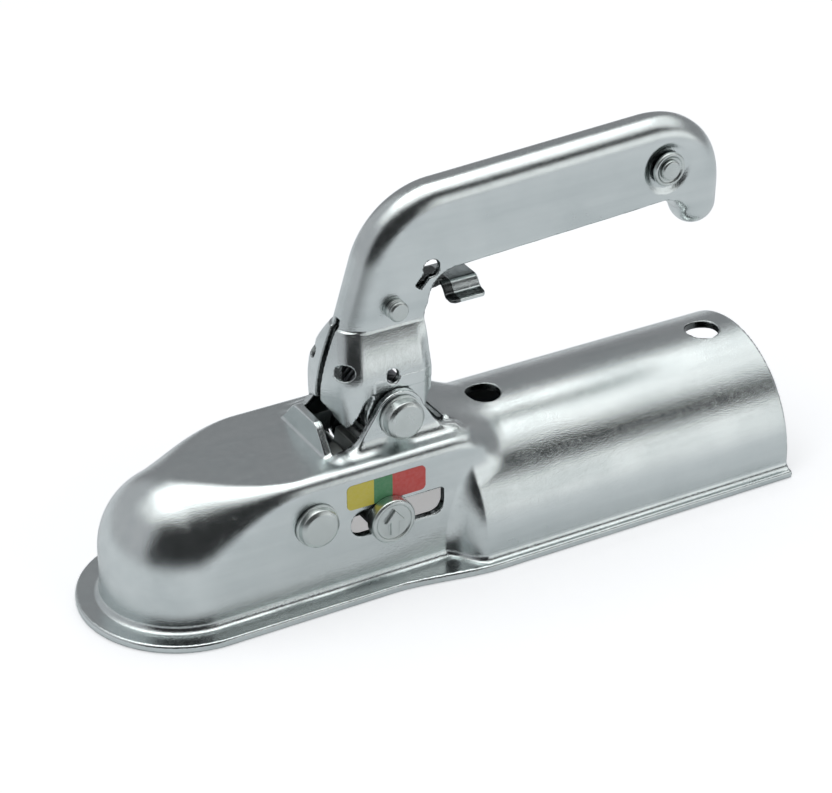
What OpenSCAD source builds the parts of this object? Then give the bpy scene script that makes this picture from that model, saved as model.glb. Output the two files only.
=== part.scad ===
// Trailer coupling head: pressed steel hood for a towing ball, with a lever handle,
// a pivoting ball jaw, a locking slide with an indicator pin, and a safety catch.
// Millimetres. The origin is the centre of the towing ball, +X points to the drawbar, +Z is up.

/* [Ball and drawbar] */
// Diameter of the towing ball
ball_d = 50; // [49:0.5:52]
// Gap between the ball and its cup
ball_gap = 0.2; // [0.1:0.05:0.4]
// Diameter of the round drawbar tube
drawbar_d = 70; // [68:0.5:72]
// Gap between the drawbar tube and its socket
drawbar_gap = 0.5; // [0.3:0.1:1]
// Height of the drawbar's axis from the ball's centre
drawbar_z = -12.5; // [-13.5:0.5:-11.5]

/* [Hood sheet] */
// Thickness of the hood's sheet
sheet_t = 3; // [2.6:0.1:3.2]
// Depth of the flange's underside below the ball's centre
skirt_depth = 19.8; // [19:0.2:22]
// Width of the flange round the ball cup
flange_w = 8.5; // [6:0.5:10]
// Width of the lip along the drawbar socket
lip_w = 3.7; // [3:0.1:6]
// Radius of the hollow between wall and flange
flange_r = 2.6; // [1.5:0.1:3]
// Radius of the hood's long upper edges
corner_r = 4.8; // [4.2:0.1:6]
// Distance over which the dome turns into the square hood
dome_blend = 34; // [28:1:40]
// Length over which the dome's corners begin to form
dome_start = 6; // [2:1:8]
// Start of the shoulder where the hood widens
shoulder_x = 88; // [87:0.5:90]
// Length of the widening of the side walls
shoulder_l = 11; // [9:0.5:14]
// Length over which the square hood turns round
joggle_l = 40; // [34:1:46]
// Extra roundness of the shoulder behind the ears
shoulder_round = 0.9; // [0.5:0.05:1]
// Length from the ball's centre to the socket's end
hood_l = 225.8; // [222:1:240]

/* [Drawbar bolts] */
// Distance of the front bolt hole from the ball's centre
bolt_x = 118.9; // [117:0.5:125]
// Spacing of the two bolt holes
bolt_pitch = 93.1; // [88:0.5:96]
// Diameter of the bolt holes
bolt_d = 12.5; // [10:0.5:14]

/* [Ears and opening] */
// Distance of the handle pivot from the ball's centre
pivot_x = 75; // [74:0.25:76]
// Height of the handle pivot
pivot_z = 38.6; // [38:0.2:40]
// Clear width between the ears
ear_gap = 32; // [31:0.5:34]
// Radius of the ears round the pivot
ear_r = 9.3; // [8.6:0.1:10]
// Length of the opening in the roof ahead of the pivot
opening_front = 24.5; // [24:0.5:26]
// Length of the opening in the roof behind the pivot
opening_rear = 18.5; // [18:0.5:19.5]
// Height of the flap in front of the opening
flap_h = 9.2; // [6:0.2:9.4]
// Lean of the flap towards the handle
flap_lean = 0.6; // [0.4:0.1:0.8]
// Width of the flap's top edge
flap_top_w = 15.6; // [12:0.2:20]
// Height of the rim behind the opening
rim_h = 3.2; // [2:0.2:4]

/* [Indicator slot] */
// Length of the slots in the side walls
slot_l = 36; // [34:0.5:38]
// Height of the slots
slot_h = 9.9; // [9.7:0.1:11]
// Distance from the slots' front end to the pin at rest
slot_front = 14; // [13.5:0.25:15]

/* [Handle] */
// Thickness of the handle's sheet
handle_t = 2.5; // [2:0.1:2.8]
// Width of the grip
grip_w = 16.4; // [15:0.2:18]
// Height of the grip's end above the pivot
grip_rise = 49.4; // [47:0.2:53]
// Length of the grip behind the pivot
grip_reach = 108; // [100:1:116]
// Radius along the grip's upper edges
grip_r = 6; // [4:0.2:7]
// Side gap between each leg and its ear
leg_gap = 0.3; // [0.2:0.05:0.5]
// Length of the lever from the pivot to the link pin
lever_l = 20; // [19.5:0.25:20.5]
// Angle of the lever ahead of straight down at rest
lever_lag = 7; // [6:0.5:8]
// Height of the lower end of the joined neck
fork_z = 67; // [66:0.5:68]

/* [Pins] */
// Diameter of the handle pivot pin
pivot_d = 10; // [8:0.5:11]
// Diameter of the jaw pivot pin
jaw_pin_d = 9; // [8:0.5:10]
// Diameter of the pin heads
head_d = 14.8; // [14:0.2:16]
// Height of the handle pivot pin's head
pivot_head_h = 5.2; // [3:0.2:6]
// Height of the jaw pin's head
jaw_head_h = 4.2; // [3:0.2:5]
// Diameter of the indicator pin
indicator_d = 9.2; // [8:0.1:9.3]
// Diameter of the indicator pin's head
indicator_head_d = 16.6; // [14:0.2:17]
// Height of the indicator pin's head
indicator_head_h = 4.4; // [3:0.2:5]
// Diameter of the link pin
link_d = 6; // [5:0.5:6.5]
// Diameter of the catch pin
catch_pin_d = 5; // [4:0.5:6]
// Diameter of the rivet in the grip's end
grip_rivet_d = 5.8; // [5:0.2:7]
// Radial running clearance of the pins
run = 0.05; // [0.03:0.01:0.08]

/* [Jaw and slide] */
// Distance of the jaw pivot behind the ball's centre
jaw_x = 37.5; // [37:0.25:39]
// Height of the jaw pivot
jaw_z = 11.7; // [11:0.25:12.5]
// Width of the jaw
jaw_w = 27; // [22:0.5:30]
// Width of the slide
slide_w = 25; // [20:0.5:26]
// Height of the indicator pin's axis
slide_z = 6.5; // [6:0.25:7]
// Distance of the indicator pin behind the ball's centre
slide_x = 65; // [64.5:0.25:65.5]

/* [Hidden] */
$fn = 48;

// Cup, hood and socket
cup_r = ball_d / 2 + ball_gap;
hood_r = cup_r + sheet_t;
socket_r = drawbar_d / 2 + drawbar_gap;
tube_r = socket_r + sheet_t;
tube_top = drawbar_z + tube_r;
flange_top = sheet_t - skirt_depth;
shoulder_end = shoulder_x + shoulder_l;
joggle_end = shoulder_x + joggle_l;
far_cut = 60;
slack = 0.3;

// Opening, ears and handle
ear_in = ear_gap / 2;
ear_out = ear_in + sheet_t;
opening_x0 = pivot_x - opening_front;
opening_x1 = pivot_x + opening_rear;
roof_in = hood_r - sheet_t;
leg_y = ear_in - leg_gap;
grip_y = grip_w / 2;
link_x = pivot_x - lever_l * sin(lever_lag);
link_z = pivot_z - lever_l * cos(lever_lag);
washer_t = 1.6;
rivet_end = 1.6;

// Side elevation points, as [x, z]
pivot = [pivot_x, pivot_z];
grip_z = pivot_z + grip_rise;
grip_x = pivot_x + grip_reach;
catch_at = [pivot_x + 4, grip_z - 14.3];
rivet_at = [grip_x + 5, grip_z + 11.8];
jaw_at = [jaw_x, jaw_z];
slide_at = [slide_x, slide_z];
link_at = [link_x, link_z];

function blend(a, b, s) = a + (b - a) * s;
function ease(s) = let (c = min(1, max(0, s))) c * c * (3 - 2 * c);
function steps(a, b, n) = [for (i = [0:n]) a + (b - a) * i / n];
function polar(r, a) = [r * cos(a), r * sin(a)];

// Half width, roof height and corner radius of the hood's outer skin at x
function hood_w(x) = x < 0 ? sqrt(hood_r * hood_r - x * x)
  : blend(hood_r, tube_r, ease((x - shoulder_x) / shoulder_l));
function hood_top(x) = x < 0 ? hood_w(x)
  : blend(hood_r, tube_top, ease((x - shoulder_x) / joggle_l));
function late(x) = norm([x, dome_start]) - dome_start;
function shoulder_turn(s) = ease(s) + shoulder_round * pow(max(0, 1 - s / 0.8), 2) * ease(s / 0.3);
function hood_corner(x) = x < 0 ? hood_w(x)
  : x < dome_blend ? corner_r + (hood_r - corner_r) * pow(1 - late(x) / late(dome_blend), 1.8)
  : blend(corner_r, tube_r, shoulder_turn((x - shoulder_x) / joggle_l));

// One ring of the hood, at depth t under the outer skin, open downwards at height low
arc_n = 7;
crown_flat = 0.3;
function hood_ring(x, t, low) = let (
    w = hood_w(x) - t,
    r = min(w - crown_flat, max(hood_corner(x) - t, 1.5)),
    y = w - r,
    z = hood_top(x) - t - r
  ) concat(
    [[x, -w, low]],
    [for (a = steps(180, 90, arc_n)) [x, -y + r * cos(a), z + r * sin(a)]],
    [for (a = steps(90, 0, arc_n)) [x, y + r * cos(a), z + r * sin(a)]],
    [[x, w, low]]
  );

// Side faces between rings of n points each, for m rings
function side_faces(n, m) = [
  for (i = [0:m - 2], j = [0:n - 1])
    [i * n + j, i * n + (j + 1) % n, (i + 1) * n + (j + 1) % n, (i + 1) * n + j]
];

// Solid through a row of rings with equal point counts
module loft(rings) {
  n = len(rings[0]);
  m = len(rings);
  polyhedron(
    points = [for (ring = rings) each ring],
    faces = concat(
      [[for (j = [n - 1:-1:0]) j]],
      [[for (j = [0:n - 1]) (m - 1) * n + j]],
      side_faces(n, m)
    )
  );
}

// Bent sheet through rings that run along its outer face and back along its inner face,
// each end closed by triangles between the two faces
module sheet_loft(rings) {
  n = len(rings[0]);
  m = len(rings);
  e = (m - 1) * n;
  polyhedron(
    points = [for (ring = rings) each ring],
    faces = concat(
      [for (j = [0:n / 2 - 2]) [j + 1, j, n - 1 - j]],
      [for (j = [0:n / 2 - 2]) [j + 1, n - 1 - j, n - 2 - j]],
      [for (j = [0:n / 2 - 2]) [e + j, e + j + 1, e + n - 1 - j]],
      [for (j = [0:n / 2 - 2]) [e + j + 1, e + n - 2 - j, e + n - 1 - j]],
      side_faces(n, m)
    )
  );
}

// Plate of thickness t with its outline in the XZ plane and its low face at y
module side_plate(y, t) {
  translate([0, y + t, 0]) rotate([90, 0, 0]) linear_extrude(t) children();
}

// Round bar along Y through p, from y0 to y1
module bar(p, d, y0, y1) {
  translate([p[0], y0, p[1]]) rotate([-90, 0, 0]) cylinder(d = d, h = y1 - y0);
}

// Turned bar along Y through p, its profile given as [radius, y] from end to end
module turned(p, profile) {
  translate([p[0], 0, p[1]]) rotate([-90, 0, 0]) rotate_extrude()
    polygon(concat([[0, profile[0][1]]], profile, [[0, profile[len(profile) - 1][1]]]));
}

module mirror_copy() {
  children();
  mirror([0, 1, 0]) children();
}

end_trim = 1;
nose_angles = [87, 80, 71, 62, 53, 44, 35, 26, 17, 8];
hood_xs = concat(
  [for (a = nose_angles) -hood_r * sin(a)],
  [for (s = steps(0, 1, 8)) dome_blend * s],
  steps(shoulder_x, joggle_end, 16),
  [hood_l + end_trim]
);
inner_xs = concat([for (s = steps(0, 1, 8)) dome_blend * s], steps(shoulder_x, joggle_end, 16));

// Plan outline of the flange
flange_xs = steps(shoulder_x - 26, shoulder_x + 16, 10);
function flange_edge(x) = blend(hood_r + flange_w, tube_r + lip_w, ease((x - flange_xs[0]) / 42));
module flange_plate() {
  near = [for (x = concat([0], flange_xs, [hood_l + end_trim])) [x, -flange_edge(x)]];
  translate([0, 0, -skirt_depth]) linear_extrude(sheet_t) {
    circle(r = hood_r + flange_w, $fn = 96);
    polygon(concat(near, [for (i = [len(near) - 1:-1:0]) [near[i][0], -near[i][1]]]));
  }
}

// Hollow between wall and flange, as [distance from the wall, height above the flange]
root_bury = 0.8;
root_cut = 0.25;
hollow = concat(
  [[-root_bury, -root_bury], [flange_r - root_cut, -root_bury]],
  [for (a = steps(-90, -180, 4)) [flange_r - root_cut, flange_r] + polar(flange_r, a)],
  [[-root_bury, flange_r]]
);
module flange_hollow() {
  translate([0, 0, flange_top]) {
    rotate([0, 0, 90]) rotate_extrude(angle = 180, $fn = 96)
      polygon([for (p = hollow) [hood_r + p[0], p[1]]]);
    mirror_copy() loft([
      for (x = concat([0], steps(shoulder_x, shoulder_end, 6), [hood_l + end_trim]))
        [for (i = [len(hollow) - 1:-1:0]) [x, hood_w(x) + hollow[i][0], hollow[i][1]]]
    ]);
  }
}

// Ear outline: a foot on the roof, rising to an arc round the pivot
module ear_outline() {
  polygon(concat(
    [[pivot_x - 22.5, roof_in], [pivot_x - 22.5, hood_r - 1.2], [pivot_x - 19.6, hood_r - 0.4],
     [pivot_x - 16.6, hood_r + 1.8]],
    [for (a = steps(152, 14, 14)) pivot + polar(ear_r, a)],
    [[pivot_x + 12.4, hood_r + 5.4], [pivot_x + 15.6, hood_r], [pivot_x + opening_rear, hood_r - 2],
     [pivot_x + opening_rear, roof_in]]
  ));
}

ear_root_r = 3.4;
module ear_root() {
  translate([pivot_x - 15, 0, hood_r]) rotate([90, 0, 90]) linear_extrude(28) difference() {
    translate([ear_out - 1, -1]) square([ear_root_r + 1, ear_root_r + 1]);
    translate([ear_out + ear_root_r, ear_root_r]) circle(r = ear_root_r);
  }
}

module flap() {
  foot = sheet_t;
  translate([opening_x0 - sheet_t, 0, hood_r]) rotate([0, atan2(flap_lean, flap_h), 0])
    rotate([90, 0, 90]) linear_extrude(sheet_t) polygon([
      [-ear_in, -foot], [ear_in, -foot], [ear_in - 0.6, 0.4],
      [flap_top_w / 2 + 0.6, flap_h - 1], [flap_top_w / 2 - 1, flap_h],
      [1 - flap_top_w / 2, flap_h], [-flap_top_w / 2 - 0.6, flap_h - 1], [0.6 - ear_in, 0.4]
    ]);
}

module rim() {
  translate([opening_x1, 0, 0]) rotate([90, 0, 90]) linear_extrude(sheet_t * 0.8) polygon([
    [-ear_in + 1, roof_in], [ear_in - 1, roof_in], [ear_in - 1, hood_r + rim_h - 1.5],
    [ear_in - 3, hood_r + rim_h], [3 - ear_in, hood_r + rim_h], [1 - ear_in, hood_r + rim_h - 1.5]
  ]);
}

// Slot with large corners, and a small one at the upper rear
slot_r = 4.5;
slot_small_r = 1.5;
slot_x0 = slide_x - slot_front;
slot_z0 = slide_z - slot_h / 2;
module slot_outline() {
  rear = slot_l - slot_r;
  translate([slot_x0, slot_z0]) {
    translate([slot_r, 0]) square([slot_l - 2 * slot_r, slot_h]);
    translate([0, slot_r]) square([slot_l, slot_h - 2 * slot_r]);
    for (c = [[slot_r, slot_r], [slot_r, slot_h - slot_r], [rear, slot_r]]) {
      translate(c) circle(r = slot_r);
    }
    translate([rear, slot_h - slot_r]) square([slot_r - slot_small_r, slot_r]);
    translate([rear, slot_h - slot_r]) square([slot_r, slot_r - slot_small_r]);
    translate([slot_l - slot_small_r, slot_h - slot_small_r]) circle(r = slot_small_r);
  }
}

module hood_hollow() {
  sphere(r = cup_r, $fn = 96);
  translate([0, 0, -far_cut]) cylinder(r = cup_r, h = far_cut, $fn = 96);
  loft([for (x = inner_xs) hood_ring(x, sheet_t, -far_cut)]);
  socket_x = shoulder_end + 5;
  translate([socket_x, 0, drawbar_z]) rotate([0, 90, 0])
    cylinder(r = socket_r, h = hood_l + end_trim, $fn = 96);
  translate([socket_x, -socket_r, -far_cut])
    cube([hood_l, 2 * socket_r, far_cut + drawbar_z]);
}

module housing() {
  color([0.78, 0.80, 0.82]) {
    difference() {
      union() {
        loft([for (x = hood_xs) hood_ring(x, 0, flange_top - root_bury)]);
        flange_plate();
        flange_hollow();
        mirror_copy() {
          side_plate(ear_in, sheet_t) ear_outline();
          ear_root();
        }
      }
      hood_hollow();
      translate([hood_l, -far_cut, -far_cut]) cube(2 * far_cut);
      translate([opening_x0, -ear_in, roof_in - 3])
        cube([opening_x1 - opening_x0, ear_gap, far_cut]);
      for (x = [bolt_x, bolt_x + bolt_pitch]) {
        translate([x, 0, 0]) cylinder(d = bolt_d, h = far_cut);
      }
      bar(pivot, pivot_d + 2 * run, -ear_out - 1, ear_out + 1);
      bar(jaw_at, jaw_pin_d + 2 * run, -hood_r - 1, hood_r + 1);
      side_plate(-hood_r - 1, 2 * hood_r + 2) slot_outline();
    }
    flap();
    rim();
  }
}

// Grip: side elevation of the spine and of the flanks' lower edge
elbow_at = [pivot_x + 25, grip_z - 8];
elbow_r = 34;
crook_at = [pivot_x + 28.5, grip_z - 16];
crook_r = 11.2;
end_at = [grip_x, grip_z];
end_r = 29.6;
end_power = 2.25;
notch_at = [grip_x + 4, grip_z - 8.7];
notch_r = 8;
tip_at = [grip_x + 20.9, grip_z - 4.5];
tip_r = 8.5;
neck_front = pivot_x - 14.5;
neck_rear = pivot_x + 15.5;

function super(c, r, a, n) = c + [r * pow(abs(cos(a)), 2 / n), r * pow(abs(sin(a)), 2 / n)];
spine = concat(
  [[neck_front, fork_z], [neck_front + 2.6, fork_z + 7]],
  [for (a = steps(180, 90, 9)) elbow_at + polar(elbow_r, a)],
  [for (a = steps(90, 0, 9)) super(end_at, end_r, a, end_power)],
  [for (a = steps(0, -105, 6)) tip_at + polar(tip_r, a)]
);
edge = concat(
  [[neck_rear, fork_z], [neck_rear + 0.8, fork_z + 3.5]],
  [for (a = steps(180, 90, 9)) crook_at + polar(crook_r, a)],
  [for (a = steps(90, 32, 9)) notch_at + polar(notch_r, a)],
  [for (s = steps(0.08, 1, 6)) blend(notch_at + polar(notch_r, 32), tip_at + [-4.4, -4.6], s)]
);
edge_r = concat([for (i = [0:11]) grip_r], [for (s = steps(0, 1, 9)) blend(grip_r, 7.2, ease(s))],
  [for (s = steps(0.1, 1, 6)) blend(7.2, 3.2, s)]);

// Channel section between a spine point and an edge point
channel_n = 5;
function channel_ring(top, low, r) = let (
    d = norm(top - low),
    u = (top - low) / d,
    g = grip_y,
    t = handle_t,
    q = max(r - t, 0.4),
    at = function (y, h) [low[0] + u[0] * h, y, low[1] + u[1] * h]
  ) concat(
    [at(-g, 0)],
    [for (a = steps(180, 90, channel_n)) at(-(g - r) + r * cos(a), d - r + r * sin(a))],
    [for (a = steps(90, 0, channel_n)) at((g - r) + r * cos(a), d - r + r * sin(a))],
    [at(g, 0), at(g - t, 0)],
    [for (a = steps(0, 90, channel_n)) at((g - t - q) + q * cos(a), d - t - q + q * sin(a))],
    [for (a = steps(90, 180, channel_n)) at(-(g - t - q) + q * cos(a), d - t - q + q * sin(a))],
    [at(-(g - t), 0)]
  );

// Legs: the neck's halves spread apart towards the ears
flare_l = 16;
leg_low = pivot_z - 4;
leg_zs = steps(fork_z, leg_low, 11);
leg_r = 6;
function leg_at(z) = let (s = min(1, max(0, (fork_z - z) / flare_l)))
  blend(grip_y, leg_y, 1 - pow(1 - s, 1.6));
function leg_front(z) = pivot_x - 18.8 + 4.3 * pow(max(0, (z - 46) / (fork_z - 46)), 1.5);
function curl_x(z) = pivot_x - 21.6 + 6.2 * pow(abs(z - 44) / (fork_z - 44), 1.6);
curl_y = 1.4;
function leg_ring(z) = let (
    y = leg_at(z),
    corner = [leg_front(z), y],
    tip = [curl_x(z), curl_y],
    u = (tip - corner) / norm(tip - corner),
    n = [-u[1], u[0]],
    c = [corner[0] + leg_r * (1 + n[1]) / n[0], y - leg_r],
    a1 = atan2(-n[1], -n[0]),
    far = tip + handle_t * n,
    q = leg_r - handle_t
  ) concat(
    [[neck_rear, y, z]],
    [for (a = steps(90, a1, 5)) [c[0] + leg_r * cos(a), c[1] + leg_r * sin(a), z]],
    [[tip[0], tip[1], z], [far[0], far[1], z]],
    [for (a = steps(a1, 90, 5)) [c[0] + q * cos(a), c[1] + q * sin(a), z]],
    [[neck_rear, y - handle_t, z]]
  );

boss_r = 11;
module leg_upper_outline() {
  polygon([
    [pivot_x - 26, fork_z], [pivot_x - 26, leg_low], [pivot_x - 18.4, leg_low], [pivot_x - 16, pivot_z - 1.6],
    [pivot_x - 11.5, pivot_z + 6], [pivot_x - 8, pivot_z + 8.5], [neck_rear, pivot_z + 8.5],
    [neck_rear, fork_z]
  ]);
}
module leg_lower_outline() {
  translate(pivot) circle(r = boss_r);
  translate(link_at) circle(r = link_d / 2 + 3.4);
  polygon([
    [pivot_x - 8, pivot_z + 13], [pivot_x - 8, pivot_z + 6], [pivot_x - 7, pivot_z - 6],
    link_at + [-link_d / 2 - 3.2, 0], link_at + [link_d / 2 + 3.2, 0], [pivot_x + 8.5, pivot_z - 7],
    [neck_rear, pivot_z + 4], [neck_rear, pivot_z + 13]
  ]);
}
// Front view of the legs, cut away obliquely below the curled edge
module curl_outline() {
  polygon([
    [-1, fork_z + 1], [-1, pivot_z + 3.2], [2, pivot_z + 2.8], [7, pivot_z + 0.8], [11, pivot_z - 1.4],
    [leg_y - 1.4, leg_low],
    [leg_y + 1, leg_low], [leg_y + 1, fork_z + 1]
  ]);
}

keyhole_at = [pivot_x + 18.5, grip_z - 3];
module handle() {
  color([0.80, 0.82, 0.84]) difference() {
    union() {
      sheet_loft([for (i = [0:len(spine) - 1]) channel_ring(spine[i], edge[i], edge_r[i])]);
      mirror_copy() {
        intersection() {
          sheet_loft([for (z = leg_zs) leg_ring(z)]);
          side_plate(0, leg_y + 1) leg_upper_outline();
          translate([pivot_x - 40, 0, 0]) rotate([90, 0, 90]) linear_extrude(70) curl_outline();
        }
        side_plate(leg_y - handle_t, handle_t) leg_lower_outline();
      }
    }
    bar(pivot, pivot_d + 2 * run, -leg_y - 1, leg_y + 1);
    bar(link_at, link_d + 2 * run, -leg_y - 1, leg_y + 1);
    bar(catch_at, catch_pin_d + 2 * run, -grip_y - 1, grip_y + 1);
    bar(rivet_at, eyelet_d + 2 * run, -grip_y - 1, grip_y + 1);
    bar([pivot_x - 0.6, pivot_z + 13.7], 4.8, -leg_y - 1, leg_y + 1);
    bar(keyhole_at, 6.4, -grip_y - 1, grip_y + 1);
    translate([keyhole_at[0], 0, keyhole_at[1]]) rotate([0, 49, 0])
      translate([-8, -grip_y - 1, -1.3]) cube([8, 2 * grip_y + 2, 2.6]);
    mirror_copy() translate([pivot_x - 18.6, leg_y - 2, pivot_z + 18.2]) rotate([-70, 0, 30])
      cylinder(d = 4.2, h = 12, center = true);
  }
}

// Riveted pin along Y: turned head on the near side, riveted over a washer on the far side
head_step = 1.2;
module riveted_pin(p, d, y_wall, head, head_h, washer_y) {
  turned(p, [
    [head / 2 - head_step, -y_wall - head_h], [head / 2, -y_wall - head_h + head_step * 0.7],
    [head / 2, -y_wall - 1.3], [head / 2 + 0.5, -y_wall - 1.3], [head / 2 + 0.5, -y_wall],
    [d / 2, -y_wall], [d / 2, washer_y + washer_t], [d / 2 + 1.4, washer_y + washer_t],
    [d / 2 + 0.9, washer_y + washer_t + rivet_end * 0.7], [d / 2 - 0.8, washer_y + washer_t + rivet_end]
  ]);
}

module washer(p, d, outer, y) {
  difference() {
    bar(p, outer, y, y + washer_t);
    bar(p, d + 2 * run, y - 1, y + washer_t + 1);
  }
}

module tube_bar(p, inner, outer, y0, y1) {
  difference() {
    bar(p, outer, y0, y1);
    bar(p, inner, y0 - 1, y1 + 1);
  }
}

// Round wire swept along a list of points, its rings lying square to the path
wire_n = 6;
module wire(path, d) {
  last = len(path) - 1;
  loft([
    for (i = [0:last]) let (
        v = path[min(i + 1, last)] - path[max(i - 1, 0)],
        f = v / norm(v),
        s = cross(f, abs(f[1]) > 0.8 ? [1, 0, 0] : [0, 1, 0]),
        e = s / norm(s),
        g = cross(f, e)
      ) [for (j = [0:wire_n - 1]) path[i] + d / 2 * (cos(-j * 60) * e + sin(-j * 60) * g)]
  ]);
}

// Coil round a Y axis through p, turning from angle a0 for a number of turns
function coil(p, r, y0, y1, a0, turns) = [
  for (s = steps(0, 1, ceil(turns * 12))) let (a = a0 + 360 * turns * s)
    [p[0] + r * cos(a), y0 + (y1 - y0) * s, p[1] + r * sin(a)]
];

module handle_pivot_pin() {
  color([0.74, 0.76, 0.78]) riveted_pin(pivot, pivot_d, ear_out, head_d, pivot_head_h, ear_out);
}
module pivot_washer() {
  color([0.66, 0.68, 0.70]) washer(pivot, pivot_d, head_d, ear_out);
}

// Sleeve on the pivot pin, which spaces the legs and carries the main spring
sleeve_d = pivot_d + 5;
module pivot_sleeve() {
  half = leg_y - handle_t - 0.1;
  color([0.60, 0.62, 0.64]) tube_bar(pivot, pivot_d + 2 * run, sleeve_d, -half, half);
}

spring_wire = 2.2;
spring_pitch = 2.6;
spring_turns = 7.5;
module main_spring() {
  r = sleeve_d / 2 + spring_wire / 2 + 0.3;
  half = spring_pitch * spring_turns / 2;
  front = [pivot_x - r, half, pivot_z];
  rear = [pivot_x + r, -half, pivot_z];
  color([0.45, 0.47, 0.50]) wire(concat(
    [rear + [0, 0, 16], rear + [0, 0, 2]],
    coil(pivot, r, -half, half, 0, spring_turns),
    [front + [0, 0, 2], front + [0.6, 0, 17]]
  ), spring_wire);
}

link_head_d = link_d + 2;
module link_pin() {
  color([0.70, 0.72, 0.74]) turned(link_at, [
    [link_head_d / 2, -leg_y - 1.2], [link_head_d / 2, -leg_y], [link_d / 2, -leg_y],
    [link_d / 2, leg_y], [link_head_d / 2, leg_y], [link_head_d / 2, leg_y + 1.2]
  ]);
}

// Eyelet through the grip's end, with a rolled collar on each flank, and the rivet in it
eyelet_d = grip_rivet_d + 2.6;
collar_d = eyelet_d + 4.2;
module grip_eyelet() {
  y = grip_y;
  color([0.72, 0.74, 0.76]) turned_ring(rivet_at, grip_rivet_d / 2 + run, [
    [eyelet_d / 2, -y], [collar_d / 2 - 0.8, -y], [collar_d / 2, -y - 0.5], [collar_d / 2 - 0.7, -y - 1.4],
    [eyelet_d / 2 - 0.4, -y - 1.6]
  ]);
}
module turned_ring(p, inner, half) {
  other = [for (i = [len(half) - 1:-1:0]) [half[i][0], -half[i][1]]];
  last = half[len(half) - 1];
  translate([p[0], 0, p[1]]) rotate([-90, 0, 0]) rotate_extrude()
    polygon(concat(half, [[inner, last[1]], [inner, -last[1]]], other));
}
module grip_rivet() {
  y = grip_y + 2.6;
  r = grip_rivet_d / 2;
  color([0.76, 0.78, 0.80]) turned(rivet_at, [[r - 0.5, -y], [r, -y + 0.5], [r, y - 0.5], [r - 0.5, y]]);
}

// Catch pin: grooved end on the near side, riveted end on the far side
catch_head_d = 7.4;
module catch_pin() {
  y = grip_y;
  r = catch_head_d / 2;
  color([0.76, 0.78, 0.80]) turned(catch_at, [
    [r - 0.6, -y - 4], [r, -y - 3.4], [r, -y - 2.4], [r - 0.5, -y - 2.1], [r - 0.5, -y - 1.6],
    [r, -y - 1.3], [r, -y], [catch_pin_d / 2, -y], [catch_pin_d / 2, y], [r - 0.4, y], [r - 1, y + 1.2]
  ]);
}

// Safety catch: two cheeks on the catch pin, folded from one sheet with the finger plate
catch_half = grip_y - handle_t - 0.5;
catch_t = 1.5;
plate_z = grip_z - 11.4;
plate_x0 = pivot_x + 23;
plate_x1 = pivot_x + 37;
module catch_cheek_outline() {
  translate(catch_at) circle(r = catch_pin_d / 2 + 2.8);
  polygon([
    catch_at + [-2, 5], [plate_x0 - 8, plate_z + catch_t + 1], [plate_x0 + 3, plate_z + catch_t],
    [plate_x0 + 3, plate_z], [plate_x0 - 6, plate_z - 1.5], catch_at + [8, -8.1],
    catch_at + [9, -18.1], catch_at + [2, -19.1], catch_at + [1.5, -15.1], catch_at + [-3, -4.3]
  ]);
}
// Cross-section of the finger plate, as [y, z] above the plate's underside
wing = [[0, 0], [5.6, 0], [7.2, -0.8], [9.6, -3.6], [13.8, -4]];
module finger_plate_section() {
  over = [for (p = wing) p + [p[1] < -0.5 && p[0] < 11 ? 0.9 : 0, catch_t * 0.8]];
  half = concat(wing, [for (i = [len(over) - 1:-1:0]) over[i]]);
  polygon(half);
  mirror([1, 0]) polygon(half);
}
module catch_lever() {
  color([0.70, 0.72, 0.74]) difference() {
    union() {
      mirror_copy() side_plate(catch_half - catch_t, catch_t) catch_cheek_outline();
      intersection() {
        side_plate(-catch_half, 2 * catch_half) catch_cheek_outline();
        translate([plate_x0 - 9, -catch_half, 0]) cube([12, 2 * catch_half, far_cut * 3]);
      }
      translate([plate_x0, 0, plate_z]) rotate([90, 0, 90]) linear_extrude(plate_x1 - plate_x0)
        finger_plate_section();
    }
    bar(catch_at, catch_pin_d + 2 * run, -catch_half - 1, catch_half + 1);
  }
}

catch_wire = 1.2;
module catch_spring() {
  r = catch_pin_d / 2 + catch_wire / 2 + 0.3;
  half = 2.8;
  color([0.45, 0.47, 0.50]) wire(concat(
    [[catch_at[0] + r, -half, catch_at[1] - 9], [catch_at[0] + r, -half, catch_at[1] - 1]],
    coil(catch_at, r, -half, half, 0, 3.75),
    [[catch_at[0] + 1, half, catch_at[1] - r], [catch_at[0] + 7, half, catch_at[1] - r]]
  ), catch_wire);
}

// Jaw: a forging that closes under the ball from behind, with a flat seat for its spring
jaw_seat_h = 5.7;
module ball_jaw() {
  color([0.55, 0.57, 0.60]) difference() {
    side_plate(-jaw_w / 2, jaw_w) difference() {
      union() {
        translate(jaw_at) circle(r = jaw_pin_d / 2 + 3.8);
        polygon([
          jaw_at + [-18.5, -24.2], jaw_at + [-8, -24.7], jaw_at + [2, -23], jaw_at + [4.6, -19.5],
          jaw_at + [5, -12], jaw_at + [9, -4.5], jaw_at + [9.8, 2.2], jaw_at + [9.6, 7],
          jaw_at + [-3, 8.2], jaw_at + [-8, 6], jaw_at + [-14, 0], jaw_at + [-18.5, -12]
        ]);
      }
      translate(jaw_at + [2.9, jaw_seat_h]) square(10);
    }
    sphere(r = cup_r + 0.3, $fn = 96);
    bar(jaw_at, jaw_pin_d + 2 * run, -jaw_w, jaw_w);
  }
}
module jaw_pin() {
  color([0.74, 0.76, 0.78]) riveted_pin(jaw_at, jaw_pin_d, hood_r, head_d, jaw_head_h, hood_r);
}
module jaw_washer() {
  color([0.66, 0.68, 0.70]) washer(jaw_at, jaw_pin_d, head_d, hood_r);
}
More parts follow.
